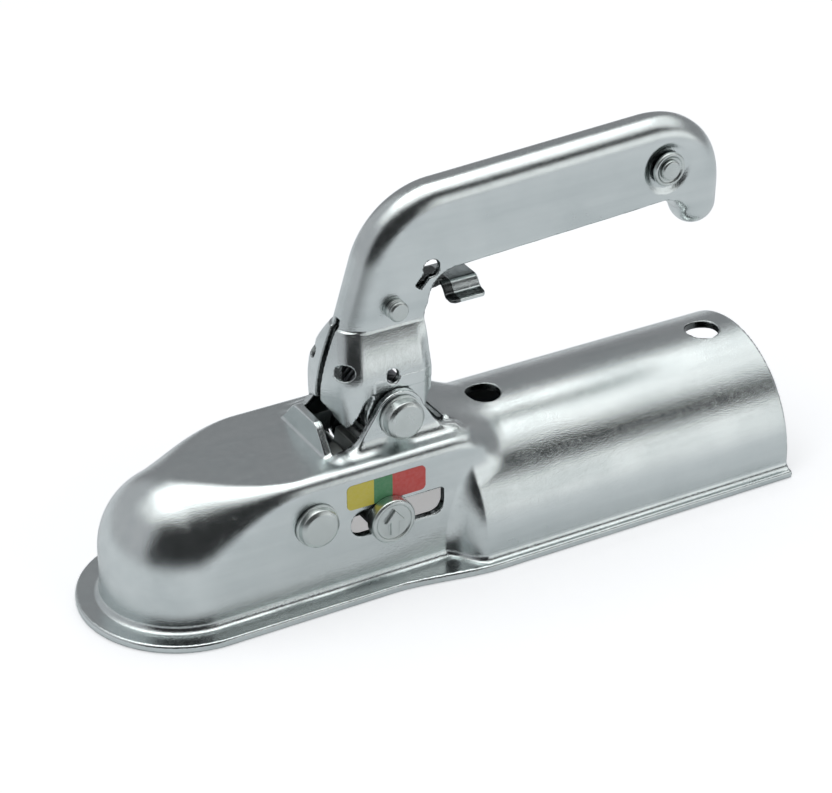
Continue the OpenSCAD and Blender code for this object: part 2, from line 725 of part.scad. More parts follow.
module jaw_spacer_near() {
  color([0.60, 0.62, 0.64])
    tube_bar(jaw_at, jaw_pin_d + 2 * run, jaw_pin_d + 5, 0.1 - roof_in, -jaw_w / 2 - 0.1);
}
module jaw_spacer_far() {
  color([0.60, 0.62, 0.64])
    tube_bar(jaw_at, jaw_pin_d + 2 * run, jaw_pin_d + 5, jaw_w / 2 + 0.1, roof_in - 0.1);
}

// Compression spring between the jaw's tail and the roof
jaw_spring_d = 6;
jaw_spring_wire = 1.2;
jaw_spring_x = jaw_x + 6.2;
module jaw_spring() {
  z0 = jaw_z + jaw_seat_h + slack + jaw_spring_wire / 2;
  z1 = roof_in - slack - jaw_spring_wire / 2;
  r = jaw_spring_d / 2 - jaw_spring_wire / 2;
  turns = 3.5;
  color([0.45, 0.47, 0.50]) wire([
    for (s = steps(0, 1, 42)) let (a = 360 * turns * s)
      [jaw_spring_x + r * cos(a), r * sin(a), z0 + (z1 - z0) * s]
  ], jaw_spring_wire);
}

// Slide: its nose blocks the jaw, its fork takes the link pin
fork_slot = link_d + 0.5;
fork_low = link_z + 0.2 - link_d / 2 - 0.9;
module slide_outline() {
  difference() {
    polygon([
      slide_at + [-21.1, -16.5], slide_at + [-14, -17.5], slide_at + [-7.5, -8], slide_at + [8, -8],
      slide_at + [13, -3], link_at + [6.6, 0], link_at + [6.6, 2.2], link_at + [-6.4, 2.2],
      link_at + [-7.2, -3], slide_at + [-8.5, 4.5], slide_at + [-12.5, -4.3], slide_at + [-21.1, -11]
    ]);
    translate([link_x - fork_slot / 2, fork_low]) square([fork_slot, 20]);
  }
}
module lock_slide() {
  color([0.55, 0.57, 0.60]) difference() {
    side_plate(-slide_w / 2, slide_w) slide_outline();
    bar(slide_at, indicator_d + 2 * run, -slide_w, slide_w);
  }
}
module indicator_pin() {
  y0 = hood_r + slack;
  color([0.74, 0.76, 0.78]) {
    turned(slide_at, [
      [indicator_head_d / 2 - 0.9, -y0 - indicator_head_h],
      [indicator_head_d / 2, -y0 - indicator_head_h + 0.6],
      [indicator_head_d / 2, -y0], [indicator_d / 2, -y0], [indicator_d / 2, y0 + washer_t],
      [indicator_d / 2 + 1.2, y0 + washer_t], [indicator_d / 2 - 0.6, y0 + washer_t + rivet_end]
    ]);
    side_plate(-y0 - indicator_head_h - 0.5, 1) translate(slide_at) arrow_outline();
  }
}
// Raised arrow on the pin's head, which points at the label
module arrow_outline() {
  polygon([[-1.5, -4.6], [1.5, -4.6], [1.5, 0.4], [3.6, 0.4], [0, 4.8], [-3.6, 0.4], [-1.5, 0.4]]);
}
module indicator_washer() {
  color([0.66, 0.68, 0.70]) washer(slide_at, indicator_d, indicator_head_d - 1, hood_r + slack);
}
module slide_spacer_near() {
  color([0.60, 0.62, 0.64])
    tube_bar(slide_at, indicator_d + 2 * run, indicator_d + 4, 0.3 - roof_in, -slide_w / 2);
}
module slide_spacer_far() {
  color([0.60, 0.62, 0.64])
    tube_bar(slide_at, indicator_d + 2 * run, indicator_d + 4, slide_w / 2, roof_in - 0.3);
}

// Label over the slot: a worn field, a closed field and an open field, from front to rear
label_t = 0.2;
label_l = 30.4;
label_h = 9.6;
label_r = 2;
module indicator_label() {
  color([0.75, 0.20, 0.16])
    side_plate(-hood_r - label_t, label_t)
      translate([slot_x0 - 1.8, slot_z0 + slot_h + 1.7]) {
        translate([label_r, 0]) square([label_l - 2 * label_r, label_h]);
        translate([0, label_r]) square([label_l, label_h - 2 * label_r]);
        for (x = [label_r, label_l - label_r], z = [label_r, label_h - label_r]) {
          translate([x, z]) circle(r = label_r);
        }
      }
}

housing();
handle();
handle_pivot_pin();
pivot_washer();
pivot_sleeve();
main_spring();
link_pin();
grip_eyelet();
grip_rivet();
catch_pin();
catch_lever();
catch_spring();
ball_jaw();
jaw_pin();
jaw_washer();
jaw_spacer_near();
jaw_spacer_far();
jaw_spring();
lock_slide();
indicator_pin();
indicator_washer();
slide_spacer_near();
slide_spacer_far();
indicator_label();
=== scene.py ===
# %% [markdown]
# # Trailer coupling head
# This notebook dresses the imported model of a pressed steel coupling head. The sheet metal is
# rebuilt as fine, softly rounded surfaces from distance fields, the pins are turned from
# profiles, and the zinc finish is made of noise, with painted shade on faces that look inwards.
# Lengths in the build cells are in millimetres, and the last helper turns them into metres.

# %% Load the fixed frame
import math
import bpy
import numpy as np
from mathutils import Matrix, Vector


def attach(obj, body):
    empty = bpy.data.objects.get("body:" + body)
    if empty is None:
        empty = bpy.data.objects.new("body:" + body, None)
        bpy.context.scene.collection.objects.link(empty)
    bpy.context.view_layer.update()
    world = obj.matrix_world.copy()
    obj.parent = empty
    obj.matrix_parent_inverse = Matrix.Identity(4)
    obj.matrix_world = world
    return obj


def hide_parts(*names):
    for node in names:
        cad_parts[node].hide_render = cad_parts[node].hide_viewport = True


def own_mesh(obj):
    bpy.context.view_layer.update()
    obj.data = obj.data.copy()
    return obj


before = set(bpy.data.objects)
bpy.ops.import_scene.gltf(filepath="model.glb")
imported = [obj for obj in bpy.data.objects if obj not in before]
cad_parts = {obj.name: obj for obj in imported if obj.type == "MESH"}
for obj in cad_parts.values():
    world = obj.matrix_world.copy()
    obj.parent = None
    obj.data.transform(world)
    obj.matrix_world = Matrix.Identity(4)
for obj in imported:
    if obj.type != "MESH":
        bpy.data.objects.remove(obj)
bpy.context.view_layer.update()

# %% [markdown]
# ## Stage
# The camera stands where the photographer stood: in front, to the near side and above. A long
# lens keeps the drawbar end almost as large as the dome.

# %% Camera, floor and lamps
scene = bpy.context.scene
scene.view_settings.view_transform = "Standard"


def camera_at(location, right, up, back, lens):
    data = bpy.data.cameras.new("photo_camera")
    data.lens = lens
    data.sensor_width = 36
    data.sensor_fit = "HORIZONTAL"
    data.clip_start = 0.01
    cam = bpy.data.objects.new("photo_camera", data)
    scene.collection.objects.link(cam)
    rows = [list(v) + [p] for v, p in zip(zip(right, up, back), location)]
    cam.matrix_world = Matrix(rows + [[0, 0, 0, 1]])
    scene.camera = cam


camera_at((-0.3310, -0.7492, 0.5307), (0.8705, -0.4922, -0.0013), (0.2480, 0.4363, 0.8650),
          (-0.4251, -0.7533, 0.5018), 123.87)


def node(tree, kind, **values):
    n = tree.nodes.new(kind)
    for key, value in values.items():
        if hasattr(n, key):
            setattr(n, key, value)
        else:
            n.inputs[key.replace("_", " ")].default_value = value
    return n


def material(name):
    m = bpy.data.materials.new(name)
    m.use_nodes = True
    m.node_tree.nodes.clear()
    out = m.node_tree.nodes.new("ShaderNodeOutputMaterial")
    return m, m.node_tree, out


def make_world():
    world = bpy.data.worlds.new("studio")
    scene.world = world
    world.use_nodes = True
    tree = world.node_tree
    tree.nodes.clear()
    out = tree.nodes.new("ShaderNodeOutputWorld")
    path = tree.nodes.new("ShaderNodeLightPath")
    seen = node(tree, "ShaderNodeMath", operation="MAXIMUM")
    tree.links.new(path.outputs["Is Camera Ray"], seen.inputs[0])
    either = node(tree, "ShaderNodeMath", operation="MAXIMUM")
    tree.links.new(path.outputs["Is Glossy Ray"], either.inputs[0])
    tree.links.new(path.outputs["Is Transmission Ray"], either.inputs[1])
    tree.links.new(either.outputs[0], seen.inputs[1])
    dim = node(tree, "ShaderNodeBackground", Color=(0.93, 0.96, 1.0, 1), Strength=0.45)
    white = node(tree, "ShaderNodeBackground", Color=(1, 1, 1, 1), Strength=1.0)
    mix = tree.nodes.new("ShaderNodeMixShader")
    tree.links.new(seen.outputs[0], mix.inputs[0])
    tree.links.new(dim.outputs[0], mix.inputs[1])
    tree.links.new(white.outputs[0], mix.inputs[2])
    tree.links.new(mix.outputs[0], out.inputs[0])


def soft_lamp(name, location, target, size, watts, mirrored=False):
    data = bpy.data.lights.new(name, "AREA")
    data.shape = "RECTANGLE"
    data.size, data.size_y = size
    data.energy = watts
    lamp = bpy.data.objects.new(name, data)
    lamp.location = location
    lamp.visible_glossy = mirrored
    lamp.rotation_euler = (Vector(target) - Vector(location)).to_track_quat("-Z", "Y").to_euler()
    scene.collection.objects.link(lamp)


make_world()
FLOOR_Z = -0.0198
soft_lamp("top_softbox", (0.15, 0.25, 1.2), (0.09, 0, 0), (1.2, 0.9), 3.9, True)
soft_lamp("front_softbox", (-1.1, -0.5, 0.7), (0.05, 0, 0.03), (0.5, 0.9), 1.2)
soft_lamp("side_softbox", (0.7, -1.2, 0.8), (0.10, 0, 0.03), (0.9, 0.5), 2.0)


# %% [markdown]
# Metal shows what stands round it. The white surround gives the bright bands, and dark cards,
# seen only in reflections, give the grey and black ones between them.

# %% Floor and reflection cards
def plane(name, corners):
    mesh = bpy.data.meshes.new(name)
    mesh.from_pydata([tuple(c) for c in corners], [], [(0, 1, 2, 3)])
    ob = bpy.data.objects.new(name, mesh)
    scene.collection.objects.link(ob)
    return ob


def floor_material():
    m, tree, out = material("pale_floor")
    base = node(tree, "ShaderNodeBsdfDiffuse", Color=(0.93, 0.935, 0.94, 1))
    glow = node(tree, "ShaderNodeEmission", Color=(1, 1, 1, 1), Strength=0.40)
    path = tree.nodes.new("ShaderNodeLightPath")
    add = tree.nodes.new("ShaderNodeAddShader")
    mix = tree.nodes.new("ShaderNodeMixShader")
    tree.links.new(base.outputs[0], add.inputs[0])
    tree.links.new(glow.outputs[0], add.inputs[1])
    tree.links.new(path.outputs["Is Camera Ray"], mix.inputs[0])
    tree.links.new(base.outputs[0], mix.inputs[1])
    tree.links.new(add.outputs[0], mix.inputs[2])
    tree.links.new(mix.outputs[0], out.inputs[0])
    return m


floor = plane("floor", [(-4, -4, FLOOR_Z), (4, -4, FLOOR_Z), (4, 4, FLOOR_Z), (-4, 4, FLOOR_Z)])
floor.data.materials.append(floor_material())


def dark_card(name, centre, normal, size, shade):
    n = Vector(normal).normalized()
    side = n.cross(Vector((0, 0, 1)))
    side = side.normalized() if side.length > 1e-3 else Vector((1, 0, 0))
    up = side.cross(n)
    c = Vector(centre)
    a, b = side * size[0] / 2, up * size[1] / 2
    card = plane(name, [c - a - b, c + a - b, c + a + b, c - a + b])
    m, tree, out = material(name + "_card")
    glow = node(tree, "ShaderNodeEmission", Color=(shade, shade, shade * 1.04, 1), Strength=1.0)
    tree.links.new(glow.outputs[0], out.inputs[0])
    card.data.materials.append(m)
    card.visible_camera = False
    card.visible_diffuse = False
    card.visible_shadow = False


dark_card("card_camera", (-0.38, -0.94, 1.04), (0.5, 0.87, 0), (2.15, 2.12), 0.03)
dark_card("card_near_high", (0.86, -1.02, 1.44), (0, 1, 0), (1.70, 1.40), 0.05)
dark_card("card_left", (-1.10, 0.42, 0.66), (1, 0, 0), (1.55, 1.36), 0.46)
dark_card("card_left_back", (-0.55, 1.20, 0.90), (0, -1, 0), (1.10, 1.84), 0.46)
dark_card("card_right_back", (0.72, 1.20, 0.98), (0, -1, 0), (1.44, 2.00), 0.26)
dark_card("card_right", (1.44, 0.25, 0.45), (-1, 0, 0), (1.90, 0.94), 0.28)
print("stage ready")


# %% [markdown]
# ## Distance fields
# A distance field says for every point how far it lies from a surface, negative inside. Fields
# join and cut with rounded corners, which is what bent and punched sheet looks like. The
# surface is then found on a grid and every vertex is pulled onto it.

# %% Field helpers
def ease(s):
    s = np.clip(s, 0, 1)
    return s * s * (3 - 2 * s)


def mix(a, b, s):
    return a + (b - a) * s


def join(a, b, r):
    return np.maximum(r, np.minimum(a, b)) - np.hypot(np.maximum(r - a, 0), np.maximum(r - b, 0))


def meet(a, b, r):
    return np.minimum(-r, np.maximum(a, b)) + np.hypot(np.maximum(r + a, 0), np.maximum(r + b, 0))


def cut(a, b, r):
    return meet(a, -b, r)


def rounded_box(x, z, hx, hz, r):
    qx, qz = np.abs(x) - (hx - r), np.abs(z) - (hz - r)
    return np.hypot(np.maximum(qx, 0), np.maximum(qz, 0)) + np.minimum(np.maximum(qx, qz), 0) - r


def polygon(x, z, points):
    """Distance to a closed outline, negative inside."""
    best = np.full(np.broadcast(x, z).shape, 1e12)
    inside = np.zeros(best.shape, bool)
    for i in range(len(points)):
        ax, az = points[i]
        bx, bz = points[i - 1]
        ex, ez = bx - ax, bz - az
        wx, wz = x - ax, z - az
        t = np.clip((wx * ex + wz * ez) / (ex * ex + ez * ez), 0, 1)
        best = np.minimum(best, (wx - ex * t) ** 2 + (wz - ez * t) ** 2)
        c1, c2, c3 = z >= az, z < bz, ex * wz > ez * wx
        inside ^= (c1 & c2 & c3) | (~c1 & ~c2 & ~c3)
    return np.where(inside, -1.0, 1.0) * np.sqrt(best)


def arc(c, r, a0, a1, n):
    return [(c[0] + r * math.cos(math.radians(a)), c[1] + r * math.sin(math.radians(a)))
            for a in np.linspace(a0, a1, n)]


def sample(field, low, high, step):
    axes = [np.arange(low[k], high[k] + step, step) for k in range(3)]
    value = field(axes[0][:, None, None], axes[1][None, :, None], axes[2][None, None, :])
    return np.broadcast_to(value, [len(a) for a in axes]), np.array(low, float)


def surface(field, low, high, step, pulls=2):
    """Vertices, quads and normals of the field's zero surface on a grid."""
    d, origin = sample(field, low, high, step)
    s = d < 0
    n = np.array(d.shape) - 1
    corners = [(i, j, k) for i in (0, 1) for j in (0, 1) for k in (0, 1)]
    total = sum(s[i:n[0] + i, j:n[1] + j, k:n[2] + k].astype(np.int8) for i, j, k in corners)
    cells = np.argwhere((total > 0) & (total < 8))
    index = np.full(n, -1, np.int64)
    index[tuple(cells.T)] = np.arange(len(cells))
    at = np.zeros((len(cells), 3))
    hits = np.zeros(len(cells))
    for a in corners:
        for axis in range(3):
            if a[axis]:
                continue
            b = tuple(a[k] + (k == axis) for k in range(3))
            va = d[tuple((cells + a).T)]
            vb = d[tuple((cells + b).T)]
            crossing = (va < 0) != (vb < 0)
            t = np.where(crossing, va / np.where(crossing, va - vb, 1), 0)
            p = cells + np.array(a) + t[:, None] * (np.arange(3) == axis)
            at += np.where(crossing[:, None], p, 0)
            hits += crossing
    verts = origin + at / hits[:, None] * step
    quads = []
    for axis in range(3):
        u, v = (axis + 1) % 3, (axis + 2) % 3
        shift = np.zeros(3, int)
        shift[axis] = 1
        low_s = s[tuple(slice(0, n[k] + (k != axis)) for k in range(3))]
        high_s = s[tuple(slice(int(k == axis), n[k] + 1) for k in range(3))]
        e = np.argwhere(low_s != high_s)
        e = e[(e[:, u] > 0) & (e[:, v] > 0) & (e[:, u] < n[u]) & (e[:, v] < n[v])]
        out = s[tuple(e.T)]
        du, dv = (np.arange(3) == u).astype(int), (np.arange(3) == v).astype(int)
        q = np.stack([index[tuple((e - du - dv).T)], index[tuple((e - dv).T)],
                      index[tuple(e.T)], index[tuple((e - du).T)]], 1)
        q[~out] = q[~out][:, ::-1]
        quads.append(q)
    quads = np.vstack(quads)
    h = 0.02

    def slope(v):
        steps = [h * (np.arange(3) == k) for k in range(3)]
        return np.stack([(field(*(v + e).T) - field(*(v - e).T)) / (2 * h) for e in steps], 1)

    for _ in range(pulls):
        g = slope(verts)
        move = field(*verts.T)[:, None] * g / np.maximum((g * g).sum(1), 0.05)[:, None]
        verts = verts - np.clip(move, -step * 0.5, step * 0.5)
    g = slope(verts)
    normals = g / np.maximum(np.linalg.norm(g, axis=1), 1e-9)[:, None]
    return verts, quads, normals


def piece(name, verts, faces, normals=None):
    """A mesh object from millimetres, smooth all over."""
    mesh = bpy.data.meshes.new(name)
    mesh.from_pydata((np.asarray(verts) / 1000).tolist(), [], [tuple(map(int, f)) for f in faces])
    mesh.polygons.foreach_set("use_smooth", np.ones(len(mesh.polygons), bool))
    mesh.update()
    if normals is not None:
        mesh.normals_split_custom_set_from_vertices(np.asarray(normals).tolist())
    ob = bpy.data.objects.new(name, mesh)
    scene.collection.objects.link(ob)
    print(name, "faces:", len(mesh.polygons))
    return ob


STEP = 0.75

# %% [markdown]
# ## The pressed hood
# One sheet, 3 mm thick: a dome over the ball, a square hood with flat side walls, and a joggle
# where the walls step out and the roof turns into the round drawbar socket. A flange runs
# round it. The ears for the handle, the flap and the rim are bent up from the same sheet.

# %% Hood field
T = 3.0
R = 28.2
TUBE = 38.5
FLOOR = -19.8
TUBE_AXIS = -12.5
BOLTS = (118.9, 212.0)
BOLT_R = 6.25
END = 225.8


def shell(x, y, z, t):
    """The hood's skin at depth t: a rounded box that dives into the round socket."""
    ay = np.abs(y)
    late = np.hypot(np.maximum(x + 6, 0), 6) - 6
    blend = np.clip(1 - late / 34.0, 0, 1) ** 1.8
    dive = ease((x - 96) / 34)
    w, top = mix(R, 20.0, dive), mix(R, 18.0, dive)
    corner = np.where(x < 60, 4.8 + (R - 4.8) * blend, mix(4.8, 19.5, ease((x - 90) / 34)))
    qy, qz = ay - (w - corner), z - (top - corner)
    box = np.hypot(np.maximum(qy, 0), np.maximum(qz, 0)) + np.minimum(np.maximum(qy, qz), 0) - corner
    swell = mix(R - 6, TUBE, ease((x - 84) / 15))
    tube = np.where(z > TUBE_AXIS, np.hypot(y, z - TUBE_AXIS), ay) - swell
    dome = np.hypot(x, np.maximum(box + R, 0)) - R
    return np.where(x < 0, dome, join(box, tube, 4.0)) + t


EAR = ([(52.5, 24.0), (52.5, 27.0), (55.4, 27.8), (58.4, 30.0)]
       + arc((75, 38.6), 9.3, 152, 14, 15) + [(88.3, 33.8), (91.6, 29.8), (95.5, 28.0), (95.5, 24.0)])


def hood_field(x, y, z):
    ay = np.abs(y)
    wall = meet(shell(x, ay, z, 0), FLOOR - z, 0.4)
    edge = mix(R + 8.5, TUBE + 3.7, ease((x - 62) / 42))
    plan = np.where(x < 0, np.hypot(x, y) - (R + 8.5), ay - edge)
    flange = meet(plan, np.abs(z - FLOOR - T / 2) - T / 2, 0.9)
    d = join(wall, flange, 2.6)
    ear = meet(polygon(x, z, EAR), np.abs(ay - 17.5) - 1.5, 0.5)
    d = join(d, ear, 5.5)
    d = cut(d, shell(x, ay, z, T), 0.5)
    opening = np.maximum(np.maximum(np.abs(x - 72) - 21.5, ay - 16), 22.0 - z)
    d = cut(d, opening, 0.5)
    lean = x - 49.0 - 0.065 * (z - R)
    side = (ay - mix(16.0, 7.8, np.clip((z - 28.4) / 9.2, 0, 1)))
    flap = meet(meet(side, z - 37.4, 1.6), np.abs(lean) - 1.5, 0.5)
    flap = np.maximum(flap, 26.0 - z)
    d = join(d, flap, 1.0)
    rim = meet(meet(ay - 17, z - 31.4, 2.5), np.abs(x - 94.7) - 1.2, 0.5)
    rim = np.maximum(rim, 25.5 - z)
    d = join(d, rim, 1.2)
    slot = np.minimum(rounded_box(x - 69, z - 6.5, 18, 4.95, 4.5), rounded_box(x - 82, z - 8.45, 5, 3, 1.5))
    d = cut(d, slot, 0.45)
    for cx in BOLTS:
        hole = np.maximum(np.hypot(x - cx, y) - BOLT_R, -z)
        d = cut(d, hole, 0.5)
    return meet(d, x - END, 0.7)


verts, quads, normals = surface(hood_field, (-38.2, -43.7, -21.2), (227.0, 43.7, 50.0), STEP)
verts[:, 2] = np.maximum(verts[:, 2], FLOOR)
middle = verts[quads].mean(1)[:, 0] < 96
hood_parts = []
for name, pick in (("hood_dome_part", middle), ("hood_socket_part", ~middle)):
    used, again = np.unique(quads[pick], return_inverse=True)
    hood_parts.append(piece(name, verts[used], again.reshape(-1, 4), normals[used]))

# %% [markdown]
# ## The forked handle
# The grip is a pressed channel, open below. Its spine bends down at the elbow and splits at the
# neck; the two halves then spread outwards to the ears, each with its front edge curled in.

# %% Handle field
WALL = 2.5


def oval(c, r, a, n):
    ca, sa = math.cos(math.radians(a)), math.sin(math.radians(a))
    return (c[0] + r * abs(ca) ** (2 / n), c[1] + r * abs(sa) ** (2 / n))


SPINE = ([(60.5, 62.0), (60.5, 67.0)] + arc((100, 80), 34, 163, 90, 31)
         + [oval((183, 88), 29.6, a, 2.25) for a in np.linspace(90, 0, 41)]
         + arc((203.9, 81.2), 8.5, 0, -165, 27)[1:])
NOTCH = arc((187, 79.3), 8, 90, 32, 14)
LAST = (195.69, 79.0)
EDGE = ([(90.5, 60.0), (90.5, 67.0), (91.3, 70.5)] + arc((103.5, 72), 11.2, 178, 92, 22)
        + [(128, 84.4), (172, 86.4)] + NOTCH
        + [(mix(NOTCH[-1][0], LAST[0], s), mix(NOTCH[-1][1], LAST[1], s)) for s in (0.4, 0.75, 1.0)])
ABOVE = SPINE + [(191, 70), (190, 20), (60.5, 20)]
BELOW = EDGE + [(197, 70), (240, 70), (240, 220), (0, 220), (0, 60)]
UPPER_LEG = [(49, 67.5), (49, 34.6), (56.6, 34.6), (59, 37), (63.5, 44.6), (67, 47.1), (90.5, 47.1), (90.5, 67.5)]
CURL = [(-1, 68), (-1, 41.8), (2, 41.4), (7, 39.4), (11, 37.2), (14.3, 34.6), (16.7, 34.6), (16.7, 68)]
KEYHOLE, KEY_R, KEY_SLOT = (93.5, 85.0), 3.2, 1.3
CORNER_HOLE = ((56.4, 13.7, 56.8), (-0.4698, 0.8138, 0.342), 2.7)


def leg_y(z):
    return mix(8.2, 15.7, 1 - (1 - np.clip((67 - z) / 16, 0, 1)) ** 1.6)


def handle_field(x, y, z):
    ay = np.abs(y)
    over = polygon(x, z, ABOVE)
    seat = 1.2 * ease((10.5 - np.hypot(x - 188, z - 99.8)) / 3.5)
    r = 7.6

    def channel(t):
        qa, qy = over + r, ay + seat - (8.2 - r)
        return np.hypot(np.maximum(qa, 0), np.maximum(qy, 0)) + np.minimum(np.maximum(qa, qy), 0) - r + t

    grip = cut(channel(0), channel(WALL), 0.5)
    below = polygon(x, z, BELOW)
    fold = np.maximum(channel(0.5), 189 - x)
    grip = meet(np.minimum(grip, fold), below, 0.6 + 2.2 * ease((x - 189.5) / 5))
    grip = np.maximum(grip, 66.6 - z)
    rear = 2.4 * ease((x - 85.5) / 5) * ease((67.5 - z) / 12)
    ly = leg_y(z) - rear
    front = 56.2 + 4.3 * (np.maximum(0, (z - 46) / 21)) ** 1.5
    tip_x, tip_y = 53.4 + 6.2 * (np.abs(z - 44) / 23) ** 1.6, 1.4
    dx, dy = tip_x - front, tip_y - ly
    length = np.hypot(dx, dy)
    ahead = -((x - front) * -dy + (ay - ly) * dx) / length
    bend = meet(ay - ly, ahead, 6.0)
    sheet = meet(np.abs(bend + WALL / 2) - WALL / 2, tip_y - ay, 0.5)
    sheet = meet(sheet, polygon(x, z, UPPER_LEG), 0.5)
    sheet = meet(sheet, polygon(ay, z, CURL), 0.5)
    link = (72.56, 18.75)
    lobe = np.minimum(np.hypot(x - 75, z - 38.6) - 11, np.hypot(x - link[0], z - link[1]) - 6.4)
    web = polygon(x, z, [(67, 51.6), (67, 44.6), (68, 32.6), (66.4, 18.7), (78.8, 18.7), (83.5, 31.6),
                         (90.5, 42.6), (90.5, 51.6)])
    flat = meet(join(lobe, web, 2.0), np.abs(ay + rear - 14.45) - WALL / 2, 0.5)
    legs = join(sheet, flat, 0.4)
    d = join(grip, legs, 0.5)
    d = cut(d, np.maximum(np.maximum(ay - 1.4, z - 70.3), x - 66), 0.5)
    at, along, r = CORNER_HOLE
    v = (x - at[0], ay - at[1], z - at[2])
    run = sum(a * b for a, b in zip(v, along))
    wide = 0.866 * v[0] + 0.5 * v[1]
    across = sum(a * a for a in v) - run * run - 0.5 * wide * wide
    hole = np.maximum(np.sqrt(np.maximum(across, 0)) - r, np.abs(run) - 6)
    d = cut(d, hole, 0.35)
    d = cut(d, np.hypot(x - 74.4, z - 52.3) - 2.4, 0.35)
    for cx, cz, r in ((75, 38.6, 5.05), (79, 73.7, 2.6), (188, 99.8, 4.3)):
        d = np.maximum(d, r - np.hypot(x - cx, z - cz))
    key_x, key_z = x - KEYHOLE[0], z - KEYHOLE[1]
    a = math.radians(49)
    along, across = -key_x * math.cos(a) - key_z * math.sin(a), key_x * math.sin(a) - key_z * math.cos(a)
    slot = np.maximum(np.abs(across) - KEY_SLOT, np.abs(along - 4) - 4)
    return cut(d, np.minimum(np.hypot(key_x, key_z) - KEY_R, slot), 0.35)


verts, quads, normals = surface(handle_field, (47, -17.2, 10.5), (216, 17.2, 120), STEP * 0.85)
handle = piece("handle_pressing", verts, quads, normals)

# %% [markdown]
# ## Turned and riveted pins
# Every pin is a profile turned round its own axis. The corners of the profile are rounded
# first, so each edge catches a line of light.

# %% Pins, washers and eyelet
def rounded(profile, r, n=4):
    """The profile with its inner corners replaced by arcs of radius r or less."""
    out = [profile[0]]
    for p, q, s in zip(profile, profile[1:], profile[2:]):
        p, q, s = (np.array(v, float) for v in (p, q, s))
        u, v = p - q, s - q
        lu, lv = np.linalg.norm(u), np.linalg.norm(v)
        k = min(r, lu * 0.45, lv * 0.45)
        a, b = q + u / lu * k, q + v / lv * k
        for t in np.linspace(0, 1, n + 1):
            out.append(tuple((1 - t) ** 2 * a + 2 * t * (1 - t) * q + t * t * b))
    return out + [profile[-1]]


def turned(name, at, profile, r=0.4, n=72):
    """A piece turned about a Y axis through at, from (radius, y) points."""
    line = rounded(profile, r)
    ang = np.linspace(0, 2 * math.pi, n, endpoint=False)
    verts, faces = [], []
    for rad, y in line:
        rad = max(rad, 0.01)
        verts += [(at[0] + rad * math.cos(a), y, at[1] + rad * math.sin(a)) for a in ang]
    for i in range(len(line) - 1):
        for j in range(n):
            k = (j + 1) % n
            faces.append((i * n + j, i * n + k, (i + 1) * n + k, (i + 1) * n + j))
    return piece(name, verts, faces)


# Where the axes of the pins lie, as (x, z).
PIVOT, JAW, SLIDE = (75, 38.6), (37.5, 11.7), (65, 6.5)
LINK, CATCH, RIVET = (72.56, 18.75), (79, 73.7), (188, 99.8)


def riveted(name, at, d, wall, head, height):
    h = head / 2
    return turned(name, at, [
        (0, -wall - height), (h - 1.6, -wall - height), (h - 0.3, -wall - height + 0.9), (h, -wall - 1.6),
        (h, -wall - 1.3), (h + 0.5, -wall - 1.25), (h + 0.5, -wall), (d / 2, -wall), (d / 2, wall + 1.6),
        (d / 2 + 1.4, wall + 1.6), (d / 2 + 0.9, wall + 2.7), (d / 2 - 0.8, wall + 3.2), (0, wall + 3.2)])


def ring(name, at, inner, outer, y0, y1, r=0.3):
    return turned(name, at, [(inner, (y0 + y1) / 2), (inner, y0), (outer, y0), (outer, y1), (inner, y1),
                             (inner, (y0 + y1) / 2)], r)


pivot_pin = riveted("pivot_pin_turned", PIVOT, 10, 19, 14.8, 5.2)
jaw_pin = riveted("jaw_pin_turned", JAW, 9, 28.2, 14.8, 4.2)
pivot_washer = ring("pivot_washer_disc", PIVOT, 5.05, 7.4, 19, 20.6)
jaw_washer = ring("jaw_washer_disc", JAW, 4.55, 7.4, 28.2, 29.8)
indicator_washer = ring("indicator_washer_disc", SLIDE, 4.65, 7.8, 28.5, 30.1)
eyelet = turned("grip_eyelet_rolled", RIVET, [
    (2.95, 0), (2.95, -9.2), (4.6, -9.2), (5.2, -9.8), (5.9, -9.8), (6.4, -9.1), (6.2, -8.0), (4.2, -7.6),
    (4.2, 0), (4.2, 7.6), (6.2, 8.0), (6.4, 9.1), (5.9, 9.8), (5.2, 9.8), (4.6, 9.2), (2.95, 9.2), (2.95, 0)], 0.4)
grip_rivet = turned("grip_rivet_turned", RIVET, [
    (0, -10.8), (3.1, -10.8), (3.7, -10.3), (3.7, -9.3), (2.9, -9.3), (2.9, 9.3), (3.7, 9.3), (3.7, 10.3),
    (3.1, 10.8), (0, 10.8)], 0.3)
catch_pin = turned("catch_pin_turned", CATCH, [
    (0, -12.2), (3.0, -12.2), (3.7, -11.5), (3.7, -10.6), (3.2, -10.3), (3.2, -9.8), (3.7, -9.5), (3.7, -8.2),
    (2.5, -8.2), (2.5, 8.2), (3.3, 8.2), (2.7, 9.4), (0, 9.4)], 0.25)
link_pin = turned("link_pin_turned", LINK, [
    (0, -16.9), (4, -16.9), (4, -15.7), (3, -15.7), (3, 15.7), (4, 15.7), (4, 16.9), (0, 16.9)], 0.3)
sleeve = ring("pivot_sleeve_tube", PIVOT, 5.05, 7.5, -13.1, 13.1)

ARROW = [(-1.5, -4.6), (1.5, -4.6), (1.5, 0.4), (3.6, 0.4), (0, 4.8), (-3.6, 0.4), (-1.5, 0.4)]


def indicator_field(x, y, z):
    r = np.hypot(x - SLIDE[0], z - SLIDE[1])
    head = meet(meet(r - 8.3, -32.9 - y, 1.1), y + 28.5, 0.3)
    dish = meet(r - 6.6, y + 32.3, 0.4)
    head = cut(head, dish, 0.4)
    arrow = meet(polygon(x - SLIDE[0], z - SLIDE[1], ARROW) - 0.1, np.abs(y + 32.5) - 0.9, 0.35)
    head = join(head, arrow, 0.35)
    shank = np.maximum(r - 4.6, np.abs(y) - 30.1)
    far = meet(r - 5.6, np.abs(y - 30.8) - 0.9, 0.6)
    return np.minimum(np.minimum(head, shank), far)


